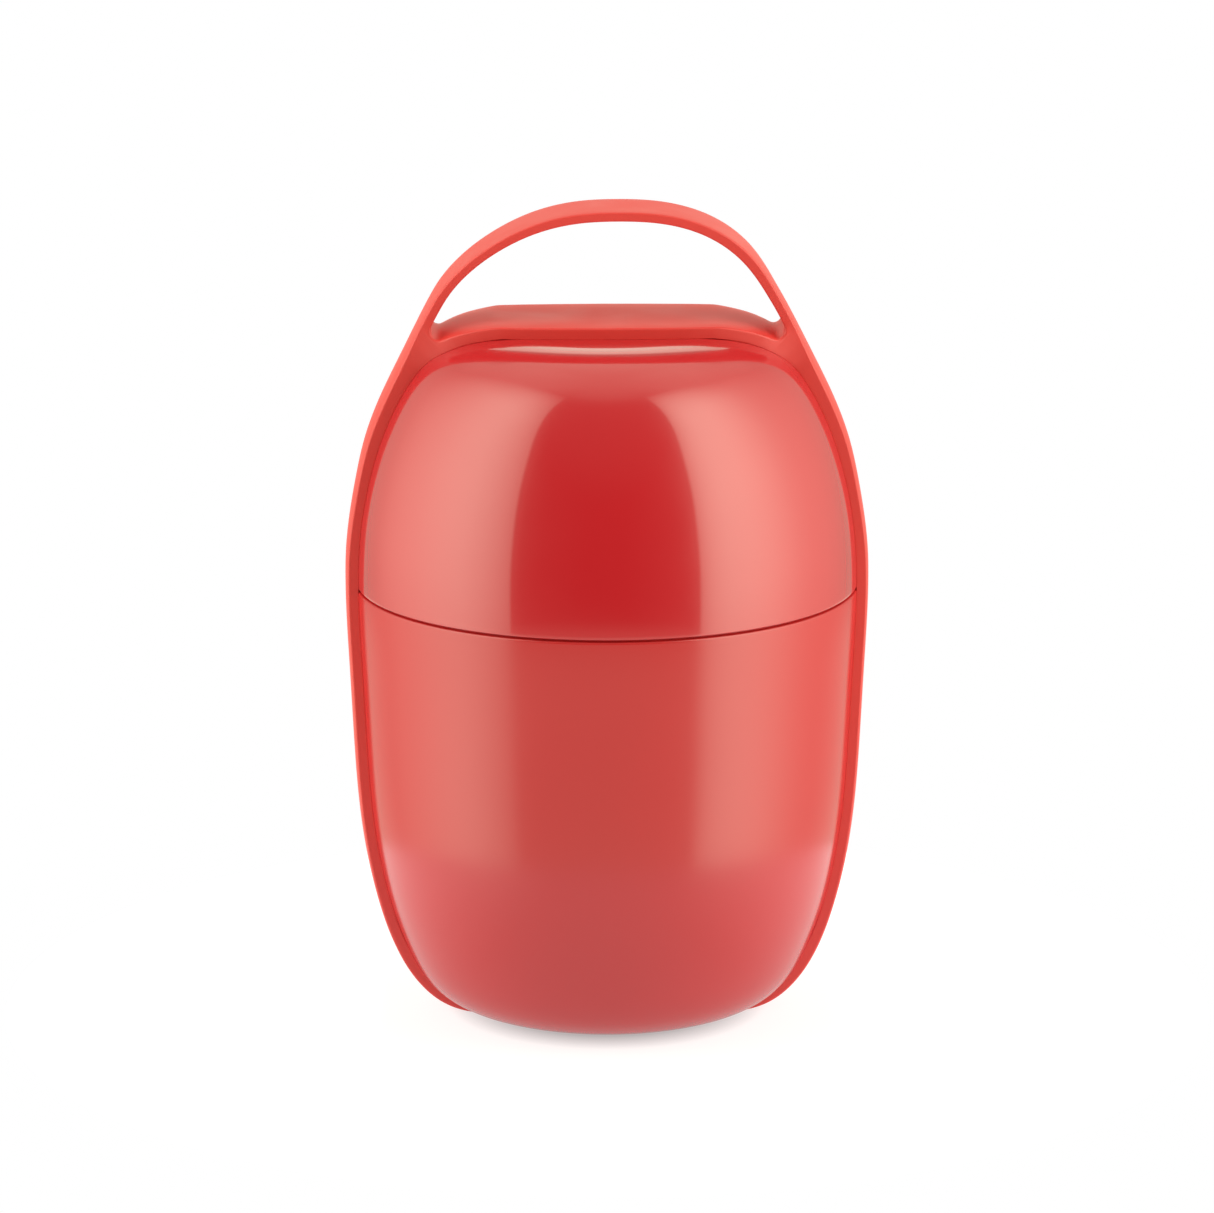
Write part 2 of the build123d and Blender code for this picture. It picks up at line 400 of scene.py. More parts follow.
def flat_plate(name, loop, half_width, edge, material):
    """Upright plate with the outline of a loop in XZ and rounded edges."""
    verts = []
    faces = []
    sides = banded(verts, faces, loop, np.full(len(loop), half_width), edge, across=2)
    for ring in sides:
        outline = [[Vector((verts[v][0], verts[v][2], 0)) for v in ring]]
        for tri in tessellate_polygon(outline):
            faces.append([ring[k] for k in tri])
    return new_object(name, verts, faces, material)


def bar(name, centre, size, rounding, material):
    """Block with rounded edges, for grips and feet."""
    bm = bmesh.new()
    bmesh.ops.create_cube(bm, size=1.0)
    for v in bm.verts:
        v.co = Vector((v.co.x * size[0], v.co.y * size[1], v.co.z * size[2])) * MM
        v.co += Vector(centre) * MM
    bmesh.ops.bevel(bm, geom=bm.edges, offset=rounding * MM, segments=4, affect="EDGES")
    mesh = bpy.data.meshes.new(name)
    bm.to_mesh(mesh)
    bm.free()
    return linked(name, mesh, material)


def join(target, *parts):
    """Parts joined into target as one object."""
    bpy.ops.object.select_all(action="DESELECT")
    for part in parts:
        part.select_set(True)
    target.select_set(True)
    bpy.context.view_layer.objects.active = target
    bpy.ops.object.join()


# ---------------------------------------------------------------- materials
def moulded(name, colour, roughness, *, spread=0.04, rough_spread=0.05, grain=2600.0, grain_depth=4e-6,
            ripple=90.0, ripple_depth=0.0, specular=0.5, coat=0.0, coat_rough=0.05,
            transmission=0.0, subsurface=0.0, glow=0.0):
    """Moulded plastic or elastomer: drift of colour, uneven polish, fine grain and slow ripple.
    grain and ripple are noise scales per metre, and their depths are in metres."""
    material = bpy.data.materials.new(name)
    material.use_nodes = True
    tree = material.node_tree
    tree.nodes.clear()
    link = tree.links.new
    out = tree.nodes.new("ShaderNodeOutputMaterial")
    shader = tree.nodes.new("ShaderNodeBsdfPrincipled")
    place_on = tree.nodes.new("ShaderNodeTexCoord")
    link(shader.outputs[0], out.inputs["Surface"])

    def noise(scale, detail, distortion=0.0):
        made = tree.nodes.new("ShaderNodeTexNoise")
        made.inputs["Scale"].default_value = scale
        made.inputs["Detail"].default_value = detail
        made.inputs["Distortion"].default_value = distortion
        link(place_on.outputs["Object"], made.inputs["Vector"])
        return made.outputs["Fac"]

    def bump(height, depth):
        made = tree.nodes.new("ShaderNodeBump")
        made.inputs["Strength"].default_value = 1.0
        made.inputs["Distance"].default_value = depth
        link(height, made.inputs["Height"])
        return made

    constants = {
        "Specular IOR Level": specular,
        "Coat Weight": coat,
        "Coat Roughness": coat_rough,
        "Transmission Weight": transmission,
        "Subsurface Weight": subsurface,
        "Subsurface Scale": 0.002,
        "Emission Color": (1, 1, 1, 1),
        "Emission Strength": glow,
    }
    for socket, value in constants.items():
        shader.inputs[socket].default_value = value

    paint = tree.nodes.new("ShaderNodeMix")
    paint.data_type = "RGBA"
    low = [max(0.0, c * (1 - spread)) for c in colour]
    high = [min(1.0, c * (1 + spread) + 0.002) for c in colour]
    paint.inputs["A"].default_value = (*low, 1)
    paint.inputs["B"].default_value = (*high, 1)
    link(noise(22.0, 4.0), paint.inputs["Factor"])
    link(paint.outputs["Result"], shader.inputs["Base Color"])

    polish = tree.nodes.new("ShaderNodeMapRange")
    polish.inputs["From Min"].default_value = 0.3
    polish.inputs["From Max"].default_value = 0.7
    polish.inputs["To Min"].default_value = max(0.02, roughness - rough_spread)
    polish.inputs["To Max"].default_value = roughness + rough_spread
    link(noise(48.0, 5.0, 0.6), polish.inputs["Value"])
    link(polish.outputs["Result"], shader.inputs["Roughness"])

    surface = bump(noise(grain, 2.0), grain_depth)
    if ripple_depth:
        wave = bump(noise(ripple, 1.0), ripple_depth)
        link(surface.outputs["Normal"], wave.inputs["Normal"])
        surface = wave
    link(surface.outputs["Normal"], shader.inputs["Normal"])
    return material


GLOSS_RED = moulded("lid_gloss", (0.545, 0.0150, 0.0215), 0.20, spread=0.03, rough_spread=0.03,
                    grain=1400.0, grain_depth=2e-7, ripple=55.0, ripple_depth=1.0e-5,
                    coat=1.0, coat_rough=0.03)
MATTE_RED = moulded("pot_matte", (0.545, 0.0205, 0.0225), 0.205, spread=0.02, rough_spread=0.015,
                    grain=3200.0, grain_depth=1.5e-6, specular=0.8)
INNER_RED = moulded("inner_red", (0.50, 0.016, 0.018), 0.38, grain_depth=5e-6)
STRAP_RED = moulded("strap_red", (0.76, 0.044, 0.037), 0.50, rough_spread=0.06,
                    grain=2100.0, grain_depth=1.2e-5, ripple=160.0, ripple_depth=2e-5, specular=0.75)
KEEPER_RED = moulded("keeper_red", (0.48, 0.016, 0.017), 0.42)
PAD_GREY = moulded("pad_grey", (0.075, 0.072, 0.072), 0.72, spread=0.14, rough_spread=0.08,
                   grain=1500.0, grain_depth=3e-5, specular=0.35)
BOWL_WHITE = moulded("bowl_white", (0.70, 0.69, 0.71), 0.30, spread=0.02, rough_spread=0.02,
                     grain=2400.0, subsurface=0.12)
LID_FROST = moulded("lid_frost", (0.74, 0.77, 0.79), 0.34, spread=0.02,
                    grain=1900.0, grain_depth=8e-6, transmission=0.45)
SEAL_GREY = moulded("seal_grey", (0.36, 0.36, 0.35), 0.52, spread=0.05, rough_spread=0.06,
                    grain=1800.0, grain_depth=9e-6, specular=0.4)
SEAL_RED = moulded("seal_red", (0.48, 0.015, 0.014), 0.48, spread=0.05, rough_spread=0.06,
                   grain=1800.0, grain_depth=9e-6, specular=0.4)


def keep_node(name, material):
    """A CAD node that stays as it is, with its finished material."""
    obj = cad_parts[name]
    obj.data.materials.clear()
    obj.data.materials.append(material)
    obj.data.polygons.foreach_set("use_smooth", [False] * len(obj.data.polygons))


def place(obj, body, slot, *nodes):
    """A piece that stands for CAD nodes: it rides on their body and hides them. The slot is not used.
    """
    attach(obj, body)
    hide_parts(*nodes)


# ---------------------------------------------------------------- pot
pot_outer = cut_above(SKIN_CURVE, POT_TOP - POT_EDGE)
pot_hollow = cut_above(body_curve(SHELL_T), POT_TOP - 0.4)
pot_rim = [
    *quarter_turn(pot_outer[-1][0], POT_TOP, POT_EDGE, -1, 1)[1:],
    (LIP_R + 0.1, POT_TOP),
    *quarter_turn(LIP_R, LIP_TOP, 0.1, -1, 1, 3),
    *quarter_turn(pot_hollow[-1][0], LIP_TOP, 0.15, 1, 1, 3)[::-1],
]
pot_body = lathe("pot_body", cup_profile(pot_outer, pot_rim, pot_hollow, (8, 16)), MATTE_RED, 256)


def cut_channel(obj):
    """Raise the outside of the base to the strap's bed, between two close pairs of edges."""
    wall = 0.12
    bm = bmesh.new()
    bm.from_mesh(obj.data)
    for y in (-CHANNEL_HALF_W, wall - CHANNEL_HALF_W, CHANNEL_HALF_W - wall, CHANNEL_HALF_W):
        bmesh.ops.bisect_plane(
            bm, geom=bm.verts[:] + bm.edges[:] + bm.faces[:], dist=1e-7,
            plane_co=(0, y * MM, 0), plane_no=(0, 1, 0),
        )
    skin = cut_above(SKIN_CURVE, CHANNEL_TOP_Z)
    roof = cut_above(body_curve(0.0), CHANNEL_TOP_Z)
    for v in bm.verts:
        radius = math.hypot(v.co.x, v.co.y) / MM
        height = v.co.z / MM
        if abs(v.co.y) / MM > CHANNEL_HALF_W - 0.1 or height > CHANNEL_TOP_Z - 0.5:
            continue
        on_skin = np.interp(radius, skin[:, 0], skin[:, 1], left=skin[0][1])
        if abs(height - on_skin) < 0.25:
            on_roof = np.interp(radius, roof[:, 0], roof[:, 1], left=BASE_Z)
            v.co.z = max(height, float(on_roof)) * MM
    bm.to_mesh(obj.data)
    bm.free()


cut_channel(pot_body)
place(pot_body, "pot", "pot_matte", "pot_shell")

LINER_JOIN_Z = 101.0
collar_in = SPIGOT_R - LINER_T
liner_rim = rounded([
    (SPIGOT_R - 0.3, LINER_JOIN_Z + 2.5), (SPIGOT_R, LINER_JOIN_Z + 3.5),
    (SPIGOT_R, FLANGE_TOP - FLANGE_T, 0.4), (FLANGE_R, FLANGE_TOP - FLANGE_T, 0.3),
    (FLANGE_R, FLANGE_TOP, 0.3), (SPIGOT_R, FLANGE_TOP, 0.3),
    (SPIGOT_R, SPIGOT_TOP, 0.5), (collar_in, SPIGOT_TOP, 0.5), (collar_in, LINER_JOIN_Z + 3.0),
])
liner_outer = cut_above(body_curve(POT_LINER_IN), LINER_JOIN_Z)
liner_inner = cut_above(body_curve(POT_LINER_IN + LINER_T), LINER_JOIN_Z)
pot_inner = lathe("pot_inner", cup_profile(liner_outer, liner_rim, liner_inner, (16,)), INNER_RED)
place(pot_inner, "pot", "inner_red", "pot_liner")

pot_seal_profile = ring_profile(SPIGOT_R + 0.1, 59.2, FLANGE_TOP + 0.1, FLANGE_TOP + 2.6, 0.6)
pot_seal = lathe("pot_seal", pot_seal_profile, SEAL_GREY)
place(pot_seal, "pot", "seal_grey", "rim_gasket")

keep_node("foot_pad_front", PAD_GREY)
keep_node("foot_pad_back", PAD_GREY)
keep_node("strap_keeper", KEEPER_RED)

# ---------------------------------------------------------------- lid
dome_out = to_axis(cut_below(body_curve(0), LID_LOW + LID_EDGE))
dome_in = to_axis(cut_below(body_curve(SHELL_T), LID_LOW + LID_EDGE))
dome_profile = np.vstack([
    dome_in[::-1],
    quarter_turn(dome_in[0][0], LID_LOW, LID_EDGE, 1, -1)[1:],
    quarter_turn(dome_out[0][0], LID_LOW, LID_EDGE, -1, -1)[::-1][:-1],
    dome_out,
])
lid_dome = lathe("lid_dome", dome_profile, GLOSS_RED, 256)
place(lid_dome, "lid", "lid_gloss", "lid_shell")

COLLAR_LOW = FLANGE_TOP + 2.9
COLLAR_TOP = 116.5
LID_LINER_JOIN_Z = 118.5
lid_liner_foot = rounded([
    (56.1, 118.2), (56.3, 115.0, 0.3), (58.0, 115.0, 0.4), (58.0, COLLAR_LOW, 0.4),
    (59.4, COLLAR_LOW, 0.4), (59.4, COLLAR_TOP, 0.4), (57.75, COLLAR_TOP, 0.4), (57.6, 118.2),
])
lid_liner_out = to_axis(cut_below(body_curve(LID_LINER_IN), LID_LINER_JOIN_Z))
lid_liner_in = to_axis(cut_below(body_curve(LID_LINER_IN + 1.5), LID_LINER_JOIN_Z))
lid_inner_profile = np.vstack([lid_liner_in[::-1], lid_liner_foot, lid_liner_out])
lid_inner = lathe("lid_inner", lid_inner_profile, INNER_RED)
place(lid_inner, "lid", "inner_red", "lid_liner")

# ---------------------------------------------------------------- strap: its lines on the right side
LOW_COUNT, HIGH_COUNT, LOOP_COUNT, PAD_COUNT = 190, 90, 110, 70
STATION = LOW_COUNT + HIGH_COUNT - 2   # index along both sides of the band where the crotch begins
HIGH_Z = 160.0                         # the crotch and all of the window are above this height
BOTTOM_R = 16.0                        # a point on the flat length under the pot

loop_out = smooth_curve(LOOP_PROFILE, (0, 1), (-1, 0), 400)
loop_in = moved_left(loop_out, STRAP_T)
bed = to_axis(body_curve(STRAP_PRESS))
band_out = to_axis(body_curve(-STRAP_GAP - STRAP_T))
pad_top = to_axis(body_curve(-PAD_RISE))

low_out = cut_above(band_out, PARTING_Z)
low_out[:, 1] = np.maximum(low_out[:, 1], 0.0)
low_out = np.vstack([[[0, 0], [BOTTOM_R, 0]], low_out[:-1]])
low_bed = np.vstack([[[0, bed[0][1]], [BOTTOM_R, bed[0][1]]], cut_above(bed, PARTING_Z)])
high_bed = cut_below(bed, PARTING_Z)
high_pad = pad_top[pad_top[:, 1] > HIGH_Z]
high_in = loop_in[loop_in[:, 1] > HIGH_Z]

# the crotch between loop and pad is an arc that touches both
i, j, arc_centre = crossing(moved_left(high_in, CROTCH_R), moved_left(high_pad, -CROTCH_R))
on_loop = high_in[i + 1:]
on_pad = high_pad[j + 1:]
loop_angle = math.atan2(*(on_loop[0] - arc_centre)[::-1])
pad_angle = math.atan2(*(on_pad[0] - arc_centre)[::-1])
valley_angle = (loop_angle + pad_angle) / 2


def crotch_arc(last_angle):
    """The arc from the bottom of the crotch to where it touches the loop or the pad."""
    turns = np.linspace(valley_angle, last_angle, 7)
    return arc_centre + CROTCH_R * np.stack([np.cos(turns), np.sin(turns)], 1)


loop_inside = np.vstack([crotch_arc(loop_angle), on_loop])
pad_outside = np.vstack([crotch_arc(pad_angle), on_pad])
valley = loop_inside[0]
outer_at = nearest(loop_out, valley)
bed_at = nearest(high_bed, valley)

# one side of the band and the other have matching points, so its faces are rows of quads
outer_half = np.vstack([
    spread(low_out, LOW_COUNT), spread(loop_out[:outer_at + 1], HIGH_COUNT)[1:],
    spread(loop_out[outer_at:], LOOP_COUNT)[1:],
])
bed_half = np.vstack([
    spread(low_bed, LOW_COUNT), spread(high_bed[:bed_at + 1], HIGH_COUNT)[1:],
    spread(high_bed[bed_at:], PAD_COUNT)[1:],
])
loop_half = spread(loop_inside, LOOP_COUNT)
pad_half = spread(pad_outside, PAD_COUNT)

# ---------------------------------------------------------------- strap: how it lies on the round body
FADE_LOW, FADE_HIGH = 172.0, 192.0     # the loop loses the body's curve between these heights
along_bed = directions(bed_half)
bed_normal = np.stack([along_bed[:, 1], -along_bed[:, 0]], 1)
bed_normal[0] = (0, -1)
bed_normal[-1] = (0, 1)

fade = np.clip((FADE_HIGH - outer_half[STATION:, 1]) / (FADE_HIGH - FADE_LOW), 0, 1)
fade = fade * fade * (3 - 2 * fade)
# for each point: direction of the body's normal (x, z), the body's radius there, how much it follows
outer_follow = np.column_stack([
    np.vstack([bed_normal[:STATION], np.tile(bed_normal[STATION], (LOOP_COUNT, 1))]),
    np.concatenate([bed_half[:STATION, 0], np.full(LOOP_COUNT, bed_half[STATION][0])]),
    np.concatenate([np.ones(STATION), fade]),
])
bed_follow = np.column_stack([bed_normal, bed_half[:, 0], np.ones(len(bed_half))])
loop_follow = outer_follow[STATION:]
pad_follow = bed_follow[STATION:]


def pad_width(points):
    """Half width of the strap: even all along, and wider in the pad over the lid."""
    length, width = np.array(PAD_OUTLINE).T
    return np.where(points[:, 1] > HIGH_Z, np.interp(points[:, 0], length, width), STRAP_HALF_W)


bed_width = pad_width(bed_half)
pad_edge_width = pad_width(pad_half)
narrowing = np.clip(1 - length_along(loop_half) / 5.0, 0, 1) ** 2
loop_width = STRAP_HALF_W + (pad_edge_width[0] - STRAP_HALF_W) * narrowing
outer_width = np.full(len(outer_half), STRAP_HALF_W)


def bender(follow):
    """Moves each point of a section at depth y against the round body."""
    def bend(points, y):
        reach = np.maximum(follow[:, 2] ** 2 - y**2, 0)
        depth = -np.abs(follow[:, 0]) * (follow[:, 2] - np.sqrt(reach)) * follow[:, 3]
        return points + follow[:, :2] * depth[:, None]
    return bend


# ---------------------------------------------------------------- strap: mesh
MIRROR_POINT = np.array([-1.0, 1.0])
MIRROR_FOLLOW = np.array([-1.0, 1.0, 1.0, 1.0])


def both_halves(right, flip):
    """Values on the right half, from low to high, carried on down the left half."""
    return np.concatenate([right, (right[::-1] * flip)[1:-1]])


def both_window(pad, loop, flip):
    """The same for the window: up the loop on the right, down on the left and back along the pad."""
    return np.concatenate([loop, (loop[::-1] * flip)[1:], (pad * flip)[1:], pad[::-1][1:-1]])


def face_quads(outer_ring, bed_ring, window_ring):
    """Faces that close one side of the strap, between its three bordering rows."""
    left_valley = 2 * LOOP_COUNT - 2
    quads = []
    for k in range(STATION):               # single band, right and left
        quads.append([outer_ring[k], outer_ring[k + 1], bed_ring[k + 1], bed_ring[k]])
        quads.append([outer_ring[-k], bed_ring[-k], bed_ring[-k - 1], outer_ring[-k - 1]])
    quads.append([outer_ring[STATION], window_ring[0], bed_ring[STATION]])
    quads.append([outer_ring[-STATION], bed_ring[-STATION], window_ring[left_valley]])
    for k in range(left_valley):           # loop, from right to left
        at = STATION + k
        quads.append([outer_ring[at], outer_ring[at + 1], window_ring[k + 1], window_ring[k]])
    for k in range(2 * PAD_COUNT - 2):     # pad, from right to left
        at = STATION + k
        quads.append([bed_ring[at], window_ring[-k], window_ring[-k - 1], bed_ring[at + 1]])
    return quads


def make_strap():
    """The whole strap: its outer skin, the skin on the body and the window under the loop."""
    verts = []
    faces = []
    outer_sides = banded(
        verts, faces, both_halves(outer_half, MIRROR_POINT), both_halves(outer_width, 1),
        OUTER_EDGE, bend=bender(both_halves(outer_follow, MIRROR_FOLLOW)),
    )
    bed_sides = banded(
        verts, faces, both_halves(bed_half, MIRROR_POINT)[::-1], both_halves(bed_width, 1)[::-1],
        BED_EDGE, bend=bender(both_halves(bed_follow, MIRROR_FOLLOW)[::-1]),
    )
    window_sides = banded(
        verts, faces, both_window(pad_half, loop_half, MIRROR_POINT)[::-1],
        both_window(pad_edge_width, loop_width, 1)[::-1],
        OUTER_EDGE, bend=bender(both_window(pad_follow, loop_follow, MIRROR_FOLLOW)[::-1]),
    )
    for outer_ring, bed_ring, window_ring in zip(outer_sides, bed_sides, window_sides):
        faces += face_quads(outer_ring, bed_ring[::-1], window_ring[::-1])
    return new_object("strap_band", verts, faces, STRAP_RED)


strap_band = make_strap()
for v in strap_band.data.vertices:
    t = max(0.0, (v.co.z / MM - LEAN_FROM) / (OVERALL_H - LEAN_FROM))
    v.co.x += LEAN * MM * t * t * (3 - 2 * t)
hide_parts("strap_sling", "strap_handle")
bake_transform(strap_band)

# ---------------------------------------------------------------- bowl
BOWL_JOIN_Z = 97.0
bowl_in_r = BOWL_R - BOWL_T
bowl_rim = rounded([
    (BOWL_R - 0.2, BOWL_JOIN_Z + 2), (BOWL_R, BOWL_JOIN_Z + 4), (BOWL_R, BOWL_LIP_Z, 0.5),
    (BOWL_LIP_R, BOWL_LIP_Z, 0.5), (BOWL_LIP_R, BOWL_TOP, 0.7), (bowl_in_r, BOWL_TOP, 0.6),
    (bowl_in_r, BOWL_JOIN_Z + 4), (bowl_in_r - 0.2, BOWL_JOIN_Z + 2),
])
bowl_outer = cut_above(body_curve(BOWL_IN), BOWL_JOIN_Z)
bowl_inner = cut_above(body_curve(BOWL_IN + BOWL_T), BOWL_JOIN_Z)
bowl_piece = lathe("bowl_piece", cup_profile(bowl_outer, bowl_rim, bowl_inner, (14,)), BOWL_WHITE)
place(bowl_piece, "food_bowl", "bowl_white", "bowl")

# ---------------------------------------------------------------- bowl's lid, seal and vent plug
SKIRT_IN, SKIRT_OUT, SKIRT_H = 50.3, 51.7, 4.3
RIB_IN, RIB_OUT, RIB_H = 37.6, 39.0, 1.8
BOSS_R, BOSS_H = 9.0, 1.6
bowl_cover_profile = rounded([
    (VENT_R, BOWL_LID_Z + 0.6), (VENT_R, BOWL_LID_Z, 0.3), (SKIRT_IN, BOWL_LID_Z, 0.3),
    (SKIRT_IN, BOWL_LID_Z - SKIRT_H, 0.5), (SKIRT_OUT, BOWL_LID_Z - SKIRT_H, 0.5),
    (SKIRT_OUT, BOWL_LID_Z, 0.3), (BOWL_LID_R, BOWL_LID_Z, 0.4), (BOWL_LID_R, BOWL_LID_TOP, 0.6),
    (RIB_OUT, BOWL_LID_TOP, 0.4), (RIB_OUT, BOWL_LID_TOP + RIB_H, 0.5),
    (RIB_IN, BOWL_LID_TOP + RIB_H, 0.5), (RIB_IN, BOWL_LID_TOP, 0.4),
    (BOSS_R, BOWL_LID_TOP, 0.5), (BOSS_R, BOWL_LID_TOP + BOSS_H, 0.6),
    (VENT_R, BOWL_LID_TOP + BOSS_H, 0.3), (VENT_R, BOWL_LID_Z + 0.7),
])
bowl_cover = lathe("bowl_cover", bowl_cover_profile, LID_FROST)
lugs = [bar("lug", (s * 22, 0, BOWL_LID_TOP + 2.3), (2.2, 18, 5.2), 0.9, LID_FROST) for s in (-1, 1)]
join(bowl_cover, *lugs)
place(bowl_cover, "bowl_cover", "lid_frost", "bowl_lid")

bowl_seal_profile = ring_profile(SKIRT_OUT + 0.1, 52.6, BOWL_LID_Z - 3.8, BOWL_LID_Z - 1.2, 0.35)
bowl_seal = lathe("bowl_seal", bowl_seal_profile, SEAL_GREY)
place(bowl_seal, "bowl_cover", "seal_grey", "bowl_gasket")

VENT_HEAD_R = 6.5
VENT_HEAD_Z = BOWL_LID_TOP + 1.9
stem_r = VENT_R - 0.3
vent_profile = rounded([
    (0, BOWL_LID_Z - 1.4), (stem_r, BOWL_LID_Z - 1.4, 0.5), (stem_r, VENT_HEAD_Z, 0.2),
    (VENT_HEAD_R, VENT_HEAD_Z, 0.5), (VENT_HEAD_R, VENT_HEAD_Z + 1.8, 0.9),
    (3.6, VENT_HEAD_Z + 1.8, 0.5), (2.4, VENT_HEAD_Z + 1.1, 0.6), (0, VENT_HEAD_Z + 1.0),
])
vent_button = lathe("vent_button", vent_profile, SEAL_RED, 64)
place(vent_button, "vent", "seal_red", "vent_plug")

# ---------------------------------------------------------------- tray
tray_inside_z = TRAY_FLOOR_Z + TRAY_T
tray_top = TRAY_LIP_Z + 1.6
tray_foot_low = BOWL_LID_TOP + 0.3
tray_profile = rounded([
    (0, TRAY_FLOOR_Z), (TRAY_FOOT_R - 1.6, TRAY_FLOOR_Z, 0.4), (TRAY_FOOT_R - 1.6, tray_foot_low, 0.4),
    (TRAY_FOOT_R, tray_foot_low, 0.4), (TRAY_FOOT_R, TRAY_FLOOR_Z + 1.0, 0.6),
    (TRAY_R_LOW, TRAY_FLOOR_Z + 4.5, 2.5), (48.1, TRAY_LIP_Z, 0.4), (TRAY_LIP_R, TRAY_LIP_Z, 0.5),
    (TRAY_LIP_R, tray_top, 0.6), (46.3, tray_top, 0.6),
    (TRAY_R_LOW - TRAY_T, tray_inside_z + 4.5, 3.0), (39.4, tray_inside_z, 3.0), (0, tray_inside_z),
])
tray_dish = lathe("tray_dish", tray_profile, BOWL_WHITE)
place(tray_dish, "tray_dish", "bowl_white", "tray")

# ---------------------------------------------------------------- divider
DIVIDER_LOW = tray_inside_z + 0.3
DIVIDER_HALF_T = 0.7
divider_right = [(37.2, 0.0, 1.5), (42.5, 5.0, 2.0), (44.5, 13.1, 1.2)]   # length, height, rounding
divider_left = [(-x, h, r) for x, h, r in divider_right[::-1]]
divider_corners = [(0, 0), *divider_right, *divider_left, (0, 0)]
divider_outline = rounded([(x, DIVIDER_LOW + h, *r) for x, h, *r in divider_corners])
divider_loop = evened(divider_outline[:-1], 0.8)
tray_wall = flat_plate("tray_wall", divider_loop, DIVIDER_HALF_T, 0.3, BOWL_WHITE)
join(tray_wall, bar("foot", (0, 0, DIVIDER_LOW + 0.6), (72, 6, 1.2), 0.5, BOWL_WHITE))
place(tray_wall, "divider", "bowl_white", "tray_divider")

# ---------------------------------------------------------------- tray's lid and seal
TRAY_SKIRT_IN, TRAY_SKIRT_OUT, TRAY_SKIRT_H = 42.9, 44.3, 3.6
tray_cover_profile = rounded([
    (0, TRAY_LID_Z), (TRAY_SKIRT_IN, TRAY_LID_Z, 0.4), (TRAY_SKIRT_IN, TRAY_LID_Z - TRAY_SKIRT_H, 0.5),
    (TRAY_SKIRT_OUT, TRAY_LID_Z - TRAY_SKIRT_H, 0.5), (TRAY_SKIRT_OUT, TRAY_LID_Z, 0.3),
    (TRAY_LIP_R, TRAY_LID_Z, 0.4), (TRAY_LIP_R, TRAY_LID_Z + TRAY_LID_T, 0.6),
    (0, TRAY_LID_Z + TRAY_LID_T),
])
tray_cover = lathe("tray_cover", tray_cover_profile, LID_FROST)
join(tray_cover, bar("pull", (0, 0, TRAY_LID_Z + 3.4), (34, 3.0, 5.0), 1.2, LID_FROST))
place(tray_cover, "tray_cover", "lid_frost", "tray_lid")

tray_seal_profile = ring_profile(TRAY_SKIRT_OUT + 0.1, 45.4, TRAY_LID_Z - 3.2, TRAY_LID_Z - 1.0, 0.4)
tray_seal = lathe("tray_seal", tray_seal_profile, SEAL_GREY)
place(tray_seal, "tray_cover", "seal_grey", "tray_gasket")

# ---------------------------------------------------------------- floor (metres)
FLOOR_R = 0.15
FLOOR_GLOW = 0.84
PAINTED_SHADOW_R, PAINTED_SHADOW_END_R, PAINTED_SHADOW_GLOW = 0.025, 0.040, 0.25   # painted contact shadow: the floor's glow is dimmer where the pot stands
PAINTED_LIGHT_FROM, PAINTED_LIGHT_TO, PAINTED_LIGHT_GLOW = 0.055, 0.120, 0.5          # painted light: the floor's glow is brighter towards the side lights
DIM_FOR_POT = 0.74         # the floor is bleached white for the viewer, and the pot sees it dimmer


def floor_paper():
    """Pale paper with its own glow, which falls off under the pot as a painted contact shadow and
    rises towards the side lights as painted light.
    """
    material = moulded("floor_paper", (0.26, 0.26, 0.26), 0.8, spread=0.004, rough_spread=0.03,
                       grain=900.0, grain_depth=1e-5, specular=0.1, glow=FLOOR_GLOW)
    nodes = material.node_tree.nodes
    link = material.node_tree.links.new

    def stretch(value, start, end, low, high):
        made = nodes.new("ShaderNodeMapRange")
        settings = {"From Min": start, "From Max": end, "To Min": low, "To Max": high}
        for socket, number in settings.items():
            made.inputs[socket].default_value = number
        link(value, made.inputs["Value"])
        return made.outputs["Result"]

    def maths(operation, *values):
        made = nodes.new("ShaderNodeMath")
        made.operation = operation
        for socket, value in zip(made.inputs, values):
            link(value, socket)
        return made.outputs["Value"]

    where = nodes.new("ShaderNodeTexCoord").outputs["Object"]
    from_axis = nodes.new("ShaderNodeVectorMath")
    from_axis.operation = "LENGTH"
    link(where, from_axis.inputs[0])
    apart = nodes.new("ShaderNodeSeparateXYZ")
    link(where, apart.inputs["Vector"])
    camera_ray = nodes.new("ShaderNodeLightPath").outputs["Is Camera Ray"]
    # painted contact shadow: the glow is dimmer close to the pot's axis
    painted_contact_shadow = stretch(from_axis.outputs["Value"], PAINTED_SHADOW_R, PAINTED_SHADOW_END_R, PAINTED_SHADOW_GLOW, FLOOR_GLOW)
    # painted light: the glow rises towards the side lights, by distance along x
    painted_side_light = stretch(maths("ABSOLUTE", apart.outputs["X"]), PAINTED_LIGHT_FROM, PAINTED_LIGHT_TO, 0.0, PAINTED_LIGHT_GLOW)
    dimmed = stretch(camera_ray, 0.0, 1.0, DIM_FOR_POT, 1.0)
    strength = maths("MULTIPLY", maths("ADD", painted_contact_shadow, painted_side_light), dimmed)
    shader = next(n for n in nodes if n.type == "BSDF_PRINCIPLED")
    link(strength, shader.inputs["Emission Strength"])
    return material


floor_mesh = bpy.data.meshes.new("floor")
floor_bm = bmesh.new()
bmesh.ops.create_circle(floor_bm, cap_ends=True, radius=FLOOR_R, segments=128)
floor_bm.to_mesh(floor_mesh)
floor_bm.free()
floor = bpy.data.objects.new("floor", floor_mesh)
bpy.context.scene.collection.objects.link(floor)
floor.data.materials.append(floor_paper())

